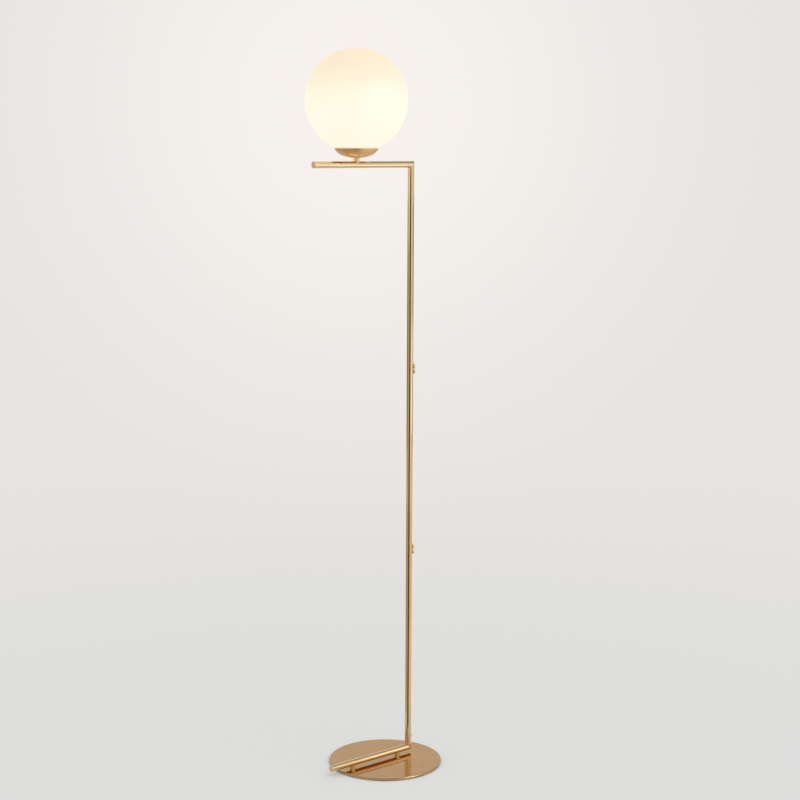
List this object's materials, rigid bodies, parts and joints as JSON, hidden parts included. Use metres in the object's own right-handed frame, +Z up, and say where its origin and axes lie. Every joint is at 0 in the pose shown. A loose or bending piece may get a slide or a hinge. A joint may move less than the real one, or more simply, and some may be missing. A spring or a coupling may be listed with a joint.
{
  "type": "globe floor lamp",
  "caption": "Slim C-shaped brass floor lamp with an opal glass globe in a shallow cup on its upper arm and a thin disc base.",
  "frame": {"origin": "centre of the disc base, on the floor", "axes": "+Z up; the pole stands on the +X side of the base and both arms run towards -X; y = 0 is the plane of symmetry"},
  "size_m": [0.2995, 0.232, 1.4544],
  "materials": {
    "brushed_brass": "satin brushed brass, clear lacquered",
    "zinc_steel": "bright zinc plated steel",
    "opal_glass": "satin opal glass, lit from inside",
    "opal_plastic": "opal diffuser, lit from inside",
    "foam_pad": "closed-cell foam",
    "clear_silicone": "translucent silicone",
    "black_rubber": "matt black",
    "white_plastic": "moulded white",
    "black_plastic": "black vitrite",
    "white_ceramic": "unglazed steatite",
    "contact_brass": "bare pressed brass",
    "nickel_plate": "nickel plated",
    "board_aluminium": "white solder mask on aluminium",
    "core_plastic": "insulated copper cores"
  },
  "bodies": {
    "stand": {"base_plate": "brushed_brass", "base_pad": "foam_pad", "lower_arm_tube": "brushed_brass", "lower_arm_cap": "brushed_brass", "lower_pole_tube": "brushed_brass", "middle_pole_tube": "brushed_brass", "upper_pole_tube": "brushed_brass", "upper_arm_tube": "brushed_brass", "upper_arm_cap": "brushed_brass", "neck_sleeve": "brushed_brass", "neck_nipple": "zinc_steel", "neck_nut": "zinc_steel", "cup": "brushed_brass", "globe_gallery": "zinc_steel", "holder_cap": "white_plastic", "holder_body": "white_plastic", "holder_insert": "white_ceramic", "holder_shell": "contact_brass", "terminal_screws": "zinc_steel", "centre_contact": "contact_brass", "lamp_lead": "black_rubber", "lead_cores": "core_plastic", "cable_grommet": "black_rubber", "spacer_rear": "brushed_brass", "base_screw_rear": "zinc_steel", "arm_block_rear": "zinc_steel", "spacer_front": "brushed_brass", "base_screw_front": "zinc_steel", "arm_block_front": "zinc_steel", "lower_spigot": "zinc_steel", "upper_spigot": "zinc_steel"},
    "globe_seat": {"globe_gasket": "clear_silicone"},
    "globe": {"glass_globe": "opal_glass"},
    "bulb": {"bulb_tip": "nickel_plate", "bulb_insulator": "black_plastic", "bulb_cap": "nickel_plate", "bulb_housing": "white_plastic", "bulb_led_board": "board_aluminium", "bulb_envelope": "opal_plastic"},
    "lower_high_screw": {"thumb_screw_lower_high": "brushed_brass"},
    "lower_low_screw": {"thumb_screw_lower_low": "brushed_brass"},
    "upper_high_screw": {"thumb_screw_upper_high": "brushed_brass"},
    "upper_low_screw": {"thumb_screw_upper_low": "brushed_brass"}
  },
  "joints": [
    {"name": "globe_turn", "type": "hinge", "parent": "stand", "child": "globe_seat", "pos_m": [-0.078, 0, 1.25375], "axis": [0, 0, 1], "range_deg": [0, 540]},
    {"name": "globe_lift", "type": "slide", "parent": "globe_seat", "child": "globe", "axis": [0, 0, 1], "range_m": [0, 0.11]},
    {"name": "bulb_turn", "type": "hinge", "parent": "stand", "child": "bulb", "pos_m": [-0.078, 0, 1.27596], "axis": [0, 0, 1], "range_deg": [0, 1260]},
    {"name": "lower_high_screw_turn", "type": "hinge", "parent": "stand", "child": "lower_high_screw", "pos_m": [0.0685, 0, 0.4468], "axis": [1, 0, 0], "range_deg": [0, 900]},
    {"name": "lower_low_screw_turn", "type": "hinge", "parent": "stand", "child": "lower_low_screw", "pos_m": [0.0685, 0, 0.4362], "axis": [1, 0, 0], "range_deg": [0, 900]},
    {"name": "upper_high_screw_turn", "type": "hinge", "parent": "stand", "child": "upper_high_screw", "pos_m": [0.0685, 0, 0.8225], "axis": [1, 0, 0], "range_deg": [0, 900]},
    {"name": "upper_low_screw_turn", "type": "hinge", "parent": "stand", "child": "upper_low_screw", "pos_m": [0.0685, 0, 0.8119], "axis": [1, 0, 0], "range_deg": [0, 900]}
  ]
}
